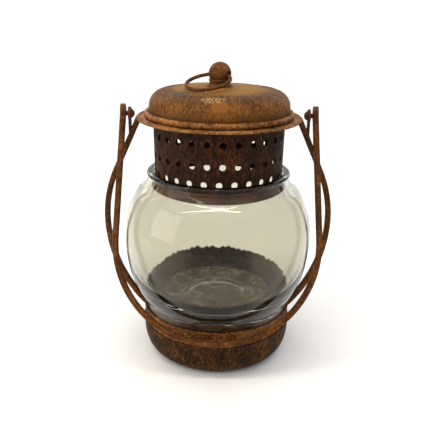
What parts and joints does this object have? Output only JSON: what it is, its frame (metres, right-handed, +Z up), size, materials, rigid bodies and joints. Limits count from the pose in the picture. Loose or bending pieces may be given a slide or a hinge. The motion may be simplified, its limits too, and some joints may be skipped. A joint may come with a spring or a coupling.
{
  "type": "hanging lantern",
  "caption": "Rustic iron lantern: round glass jar in a hammered frame with side arms, perforated collar, lift-off domed lid with a ball knob and ring, and a swinging bail handle.",
  "frame": {"origin": "centre of the flat underside of the base, on the lantern's axis", "axes": "+Z up along the axis of the jar; +X towards the right-hand arm and pivot; the folded handle leans on the front, -Y"},
  "size_m": [0.1942, 0.1592, 0.2504],
  "materials": {
    "dome_iron": "hammered sheet iron, warm orange-brown rust patina",
    "edge_iron": "rolled edges rubbed to a brighter orange-brown",
    "collar_iron": "dark mottled rust-brown sheet iron",
    "base_iron": "dark hammered iron with orange flecks",
    "bar_iron": "hand-forged bar, dark brown with rubbed faces",
    "fastener_iron": "dark forged rivets and fixings",
    "jar_glass": "clear blown glass, faintly green in the thick parts"
  },
  "bodies": {
    "frame": {"base_pan": "base_iron", "base_band": "base_iron", "jar_seat_plate": "collar_iron", "glass_jar": "jar_glass", "arm_right": "bar_iron", "arm_left": "bar_iron", "ear_right": "fastener_iron", "ear_left": "fastener_iron", "brim": "edge_iron", "perforated_collar": "collar_iron", "collar_sleeve": "collar_iron"},
    "lid": {"lid_dome": "dome_iron", "lid_rim_ring": "edge_iron", "lid_skirt": "collar_iron", "knob_base": "dome_iron", "knob_ball": "dome_iron", "knob_stud": "fastener_iron", "knob_washer": "fastener_iron", "knob_nut": "fastener_iron"},
    "ring": {"pull_ring": "bar_iron"},
    "handle": {"bail_handle": "bar_iron", "hinge_pin_right": "fastener_iron", "hinge_pin_left": "fastener_iron"}
  },
  "joints": [
    {"name": "lid_lift", "type": "slide", "parent": "frame", "child": "lid", "axis": [0, 0, 1], "range_m": [0, 0.06]},
    {"name": "ring_swing", "type": "hinge", "parent": "lid", "child": "ring", "pos_m": [0, 0, 0.2406], "axis": [-0.8192, 0.5736, 0], "range_deg": [0, 209.8]},
    {"name": "handle_swing", "type": "hinge", "parent": "frame", "child": "handle", "pos_m": [0, 0, 0.2086], "axis": [-1, 0, 0], "range_deg": [0, 317.2]}
  ]
}
